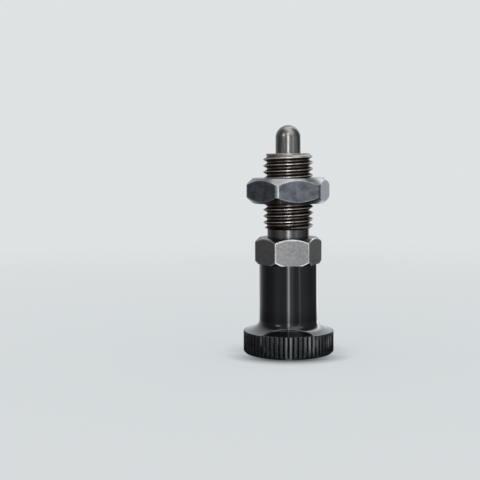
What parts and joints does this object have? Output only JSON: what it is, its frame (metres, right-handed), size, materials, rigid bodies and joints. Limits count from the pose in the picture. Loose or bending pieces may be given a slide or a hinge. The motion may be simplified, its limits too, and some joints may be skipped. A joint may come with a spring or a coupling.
{
  "type": "indexing plunger",
  "caption": "Spring-loaded indexing plunger: threaded guide body with hexagon collar and lock nut, domed locking pin and a serrated pull knob.",
  "frame": {"origin": "centre of the knob's flat end face, which the plunger stands on", "axes": "+Z along the plunger's axis from the knob to the domed tip of the locking pin; one flat of each hexagon faces roughly -Y"},
  "size_m": [0.0218, 0.0218, 0.0545],
  "materials": {
    "blackened_steel": "black oxide, worn bright along edges and thread crests",
    "ground_steel": "ground and blackened, polished at the dome",
    "spring_steel": "bright drawn wire",
    "black_knob": "smooth glossy black"
  },
  "bodies": {
    "guide": {"guide_body": "blackened_steel", "spring": "spring_steel"},
    "plunger": {"locking_pin": "ground_steel", "knob": "black_knob"},
    "nut": {"lock_nut": "blackened_steel"}
  },
  "joints": [
    {"name": "knob_pull", "type": "slide", "parent": "guide", "child": "plunger", "axis": [0, 0, -1], "range_m": [0, 0.0067], "stiffness_N_per_m": 1870, "springref_m": -0.0045, "deforming": ["spring"]},
    {"name": "nut_travel", "type": "slide", "parent": "guide", "child": "nut", "axis": [0, 0, 1], "range_m": [-0.0075, 0.006]}
  ]
}
